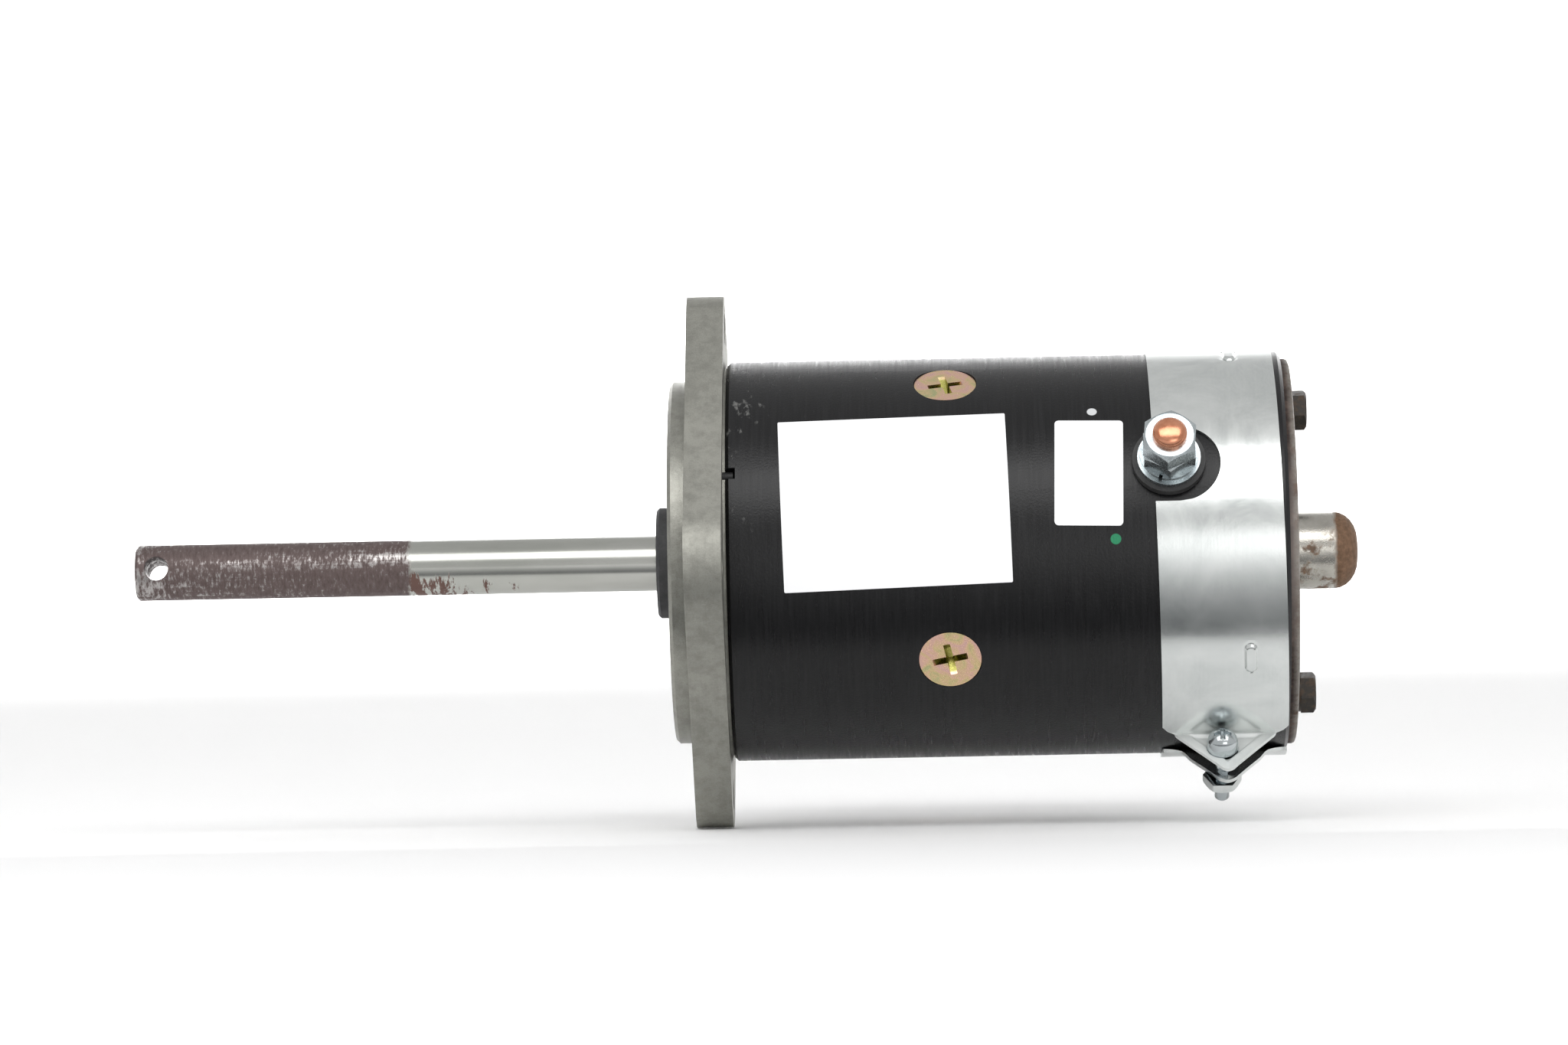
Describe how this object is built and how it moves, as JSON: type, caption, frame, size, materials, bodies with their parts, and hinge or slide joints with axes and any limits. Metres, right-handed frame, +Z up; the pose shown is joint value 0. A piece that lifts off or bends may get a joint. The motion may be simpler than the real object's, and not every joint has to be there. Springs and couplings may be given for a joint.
{
  "type": "electric motor",
  "caption": "Flange-mounted direct-current motor with a long cross-drilled shaft, brush gear under a clamped cover band and a radial terminal stud.",
  "frame": {"origin": "on the shaft axis, in the plane of the flange's mounting face", "axes": "the shaft runs along X with its free end towards -X and the brush gear at the +X end; -Y is the side with the labels and the terminal; +Z is up as the motor lies in the picture"},
  "size_m": [0.3503, 0.1524, 0.1524],
  "materials": {
    "black_paint": "satin, fine turned texture",
    "cast_aluminium": "machined casting, fine grain",
    "shaft_steel": "ground near the motor, dark scale over the free half",
    "seal_rubber": "matt",
    "yellow_zinc": "yellow chromate zinc",
    "bright_zinc": "bright zinc plate",
    "copper": "plain copper",
    "zinc_hardware": "bluish zinc plate",
    "black_insulator": "matt fibre",
    "rusty_steel": "bare steel with surface rust",
    "dark_bolt_steel": "oiled black, light rust",
    "white_label": "blank printed stock",
    "bearing_steel": "polished",
    "cage_brass": "pressed",
    "spring_steel": "oiled",
    "lamination_steel": "stacked sheet",
    "winding_copper": "enamelled wire",
    "phenolic": "moulded",
    "bronze": "sintered",
    "coil_tape": "varnished tape over copper strap",
    "holder_brass": "pressed sheet",
    "carbon": "pressed copper-graphite"
  },
  "bodies": {
    "housing": {"yoke": "black_paint", "drive_end_head": "cast_aluminium", "bearing_outer_ring": "bearing_steel", "bearing_shields": "bearing_steel", "bearing_retaining_ring": "spring_steel", "shaft_seal": "seal_rubber", "locating_pin": "bearing_steel", "pole_shoe_1": "lamination_steel", "pole_shoe_2": "lamination_steel", "pole_shoe_3": "lamination_steel", "pole_shoe_4": "lamination_steel", "field_coil_1": "coil_tape", "field_coil_2": "coil_tape", "field_coil_3": "coil_tape", "field_coil_4": "coil_tape", "field_jumpers": "copper", "pole_screws": "yellow_zinc", "thrust_washer": "phenolic", "rear_bushing": "bronze", "commutator_end_head": "rusty_steel", "brush_plate": "phenolic", "brush_plate_screws": "zinc_hardware", "brush_holder_1": "holder_brass", "brush_holder_2": "holder_brass", "brush_holder_3": "holder_brass", "brush_holder_4": "holder_brass", "brush_lead_1": "copper", "brush_lead_2": "copper", "brush_lead_3": "copper", "brush_lead_4": "copper", "band_cover": "bright_zinc", "band_screw": "bright_zinc", "band_nut": "bright_zinc", "terminal_stud": "copper", "terminal_bushing": "black_insulator", "terminal_insulator": "black_insulator", "terminal_flat_washer": "zinc_hardware", "terminal_lock_washer": "zinc_hardware", "terminal_nuts": "zinc_hardware", "through_bolts": "dark_bolt_steel", "through_bolt_washers": "dark_bolt_steel", "rating_label": "white_label", "serial_label": "white_label"},
    "rotor": {"shaft": "shaft_steel", "bearing_inner_ring": "bearing_steel", "shaft_retaining_ring": "spring_steel", "armature_core": "lamination_steel", "armature_winding": "winding_copper", "commutator_bars": "copper", "commutator_hub": "phenolic"},
    "ball_cage": {"bearing_cage": "cage_brass", "bearing_balls": "bearing_steel"},
    "carbon_brush_1": {"brush_1": "carbon"},
    "spring_arm_1": {"brush_spring_1": "spring_steel"},
    "carbon_brush_2": {"brush_2": "carbon"},
    "spring_arm_2": {"brush_spring_2": "spring_steel"},
    "carbon_brush_3": {"brush_3": "carbon"},
    "spring_arm_3": {"brush_spring_3": "spring_steel"},
    "carbon_brush_4": {"brush_4": "carbon"},
    "spring_arm_4": {"brush_spring_4": "spring_steel"}
  },
  "joints": [
    {"name": "rotor_spin", "type": "hinge", "parent": "housing", "child": "rotor", "pos_m": [0, 0, 0], "axis": [1, 0, 0], "continuous": true},
    {"name": "cage_spin", "type": "hinge", "parent": "housing", "child": "ball_cage", "pos_m": [0, 0, 0], "axis": [1, 0, 0], "continuous": true},
    {"name": "brush_slide_1", "type": "slide", "parent": "housing", "child": "carbon_brush_1", "axis": [0, -0.866, -0.5], "range_m": [0, 0.006], "stiffness_N_per_m": 150, "springref_m": -0.03, "deforming": ["brush_lead_1"]},
    {"name": "spring_arm_swing_1", "type": "hinge", "parent": "housing", "child": "spring_arm_1", "pos_m": [0.15, -0.044, -0.01038], "axis": [-1, 0, 0], "range_deg": [0, 26.5]},
    {"name": "brush_slide_2", "type": "slide", "parent": "housing", "child": "carbon_brush_2", "axis": [0, -0.5, 0.866], "range_m": [0, 0.006], "stiffness_N_per_m": 150, "springref_m": -0.03, "deforming": ["brush_lead_2"]},
    {"name": "spring_arm_swing_2", "type": "hinge", "parent": "housing", "child": "spring_arm_2", "pos_m": [0.15, -0.01038, 0.044], "axis": [-1, 0, 0], "range_deg": [0, 26.5]},
    {"name": "brush_slide_3", "type": "slide", "parent": "housing", "child": "carbon_brush_3", "axis": [0, 0.866, 0.5], "range_m": [0, 0.006], "stiffness_N_per_m": 150, "springref_m": -0.03, "deforming": ["brush_lead_3"]},
    {"name": "spring_arm_swing_3", "type": "hinge", "parent": "housing", "child": "spring_arm_3", "pos_m": [0.15, 0.044, 0.01038], "axis": [-1, 0, 0], "range_deg": [0, 26.5]},
    {"name": "brush_slide_4", "type": "slide", "parent": "housing", "child": "carbon_brush_4", "axis": [0, 0.5, -0.866], "range_m": [0, 0.006], "stiffness_N_per_m": 150, "springref_m": -0.03, "deforming": ["brush_lead_4"]},
    {"name": "spring_arm_swing_4", "type": "hinge", "parent": "housing", "child": "spring_arm_4", "pos_m": [0.15, 0.01038, -0.044], "axis": [-1, 0, 0], "range_deg": [0, 26.5]}
  ],
  "couplings": [
    {"joint": "cage_spin", "follows": "rotor_spin", "ratio": 0.38802},
    {"joint": "spring_arm_swing_1", "follows": "brush_slide_1", "rad_per_m": 75.552},
    {"joint": "spring_arm_swing_2", "follows": "brush_slide_2", "rad_per_m": 75.552},
    {"joint": "spring_arm_swing_3", "follows": "brush_slide_3", "rad_per_m": 75.552},
    {"joint": "spring_arm_swing_4", "follows": "brush_slide_4", "rad_per_m": 75.552}
  ]
}
